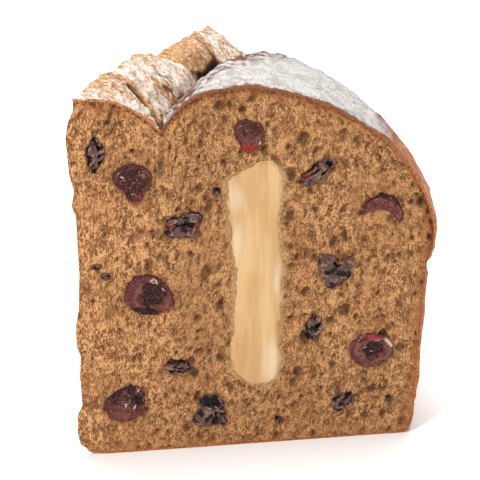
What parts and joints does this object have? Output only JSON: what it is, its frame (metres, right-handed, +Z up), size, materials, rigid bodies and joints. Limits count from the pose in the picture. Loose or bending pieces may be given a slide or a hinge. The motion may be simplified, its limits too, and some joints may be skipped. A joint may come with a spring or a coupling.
{
  "type": "panettone wedge",
  "caption": "Hand-cut wedge of a low round fruit bread, with dried berries, raisins and a band of almond filling, sugar-dusted on top.",
  "frame": {"origin": "On the table, under the middle of the wedge's box.", "axes": "+Z up; the shown cut faces -Y, from the loaf's middle at -X to its crust at +X; the back cut runs from the same thin edge toward +X and +Y."},
  "size_m": [0.1092, 0.0934, 0.1192],
  "materials": {
    "crumb": "Open golden-brown sweet-bread crumb, dry and soft, under a thin baked crust dusted with icing sugar.",
    "filling": "Smooth waxy almond paste, pale cream, slightly translucent.",
    "cranberry": "Cut dried berry, dark maroon, moist and semi-gloss, red where thin.",
    "raisin": "Wrinkled dried grape, near-black brown, semi-gloss."
  },
  "bodies": {
    "root": {"bread": "crumb", "filling": "filling", "cranberry_1": "cranberry", "cranberry_2": "cranberry", "cranberry_3": "cranberry", "cranberry_4": "cranberry", "cranberry_5": "cranberry", "cranberry_6": "cranberry", "cranberry_7": "cranberry", "cranberry_8": "cranberry", "cranberry_9": "cranberry", "cranberry_10": "cranberry", "cranberry_11": "cranberry", "raisin_1": "raisin", "raisin_2": "raisin", "raisin_3": "raisin", "raisin_4": "raisin", "raisin_5": "raisin", "raisin_6": "raisin", "raisin_7": "raisin", "raisin_8": "raisin", "raisin_9": "raisin", "raisin_10": "raisin", "raisin_11": "raisin", "raisin_12": "raisin", "raisin_13": "raisin", "raisin_14": "raisin"}
  },
  "joints": []
}
